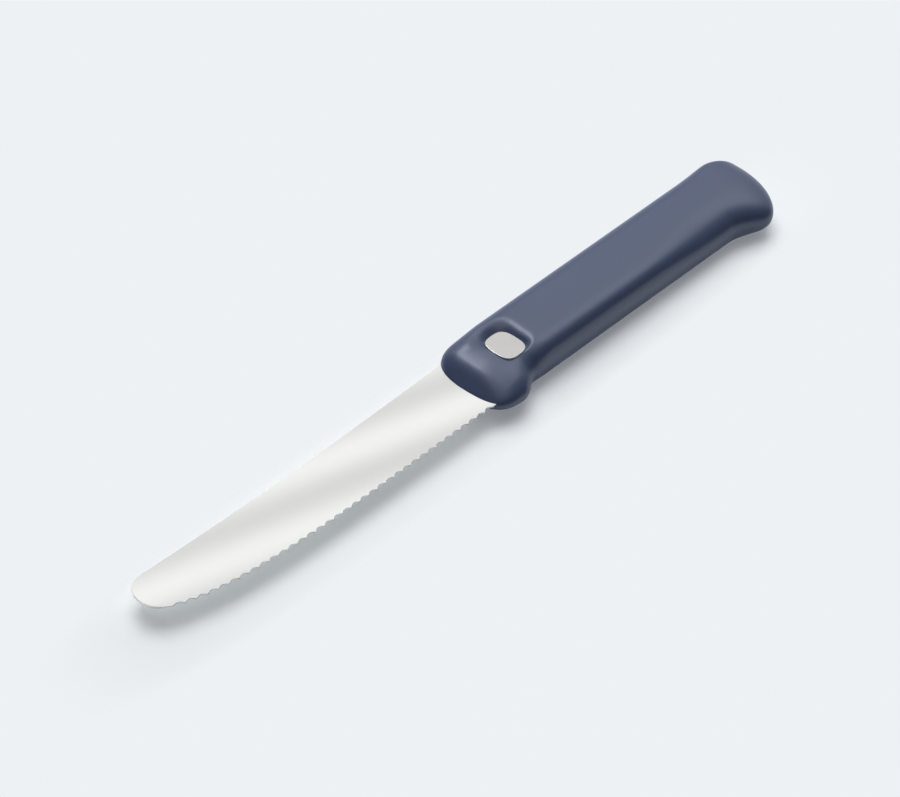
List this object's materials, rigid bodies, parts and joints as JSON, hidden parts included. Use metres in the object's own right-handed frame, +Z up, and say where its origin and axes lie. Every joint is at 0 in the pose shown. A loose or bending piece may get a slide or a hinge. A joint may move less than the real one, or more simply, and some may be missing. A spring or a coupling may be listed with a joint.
{
  "type": "vegetable knife",
  "caption": "Fixed-blade vegetable knife with a round-tipped serrated steel blade in a satin moulded handle with a finger guard, hooked butt and a small inset badge plate, lying on its side.",
  "frame": {"origin": "middle of the knife's box, on the surface that it lies on", "axes": "+X runs from the tip to the butt, +Y from the cutting edge to the spine, +Z up, with the knife on its side"},
  "size_m": [0.2286, 0.0268, 0.013],
  "materials": {
    "blade_steel": "fine satin stainless steel, ground edge",
    "core_plastic": "plain moulded hard plastic",
    "grip_plastic": "navy satin soft-touch moulding",
    "pad_foam": "thin double-sided adhesive foam",
    "badge_steel": "fine brushed steel, bare"
  },
  "bodies": {
    "root": {"blade": "blade_steel", "core_upper_half": "core_plastic", "core_lower_half": "core_plastic", "grip": "grip_plastic", "badge_adhesive_pad": "pad_foam", "badge_plate": "badge_steel"}
  },
  "joints": []
}
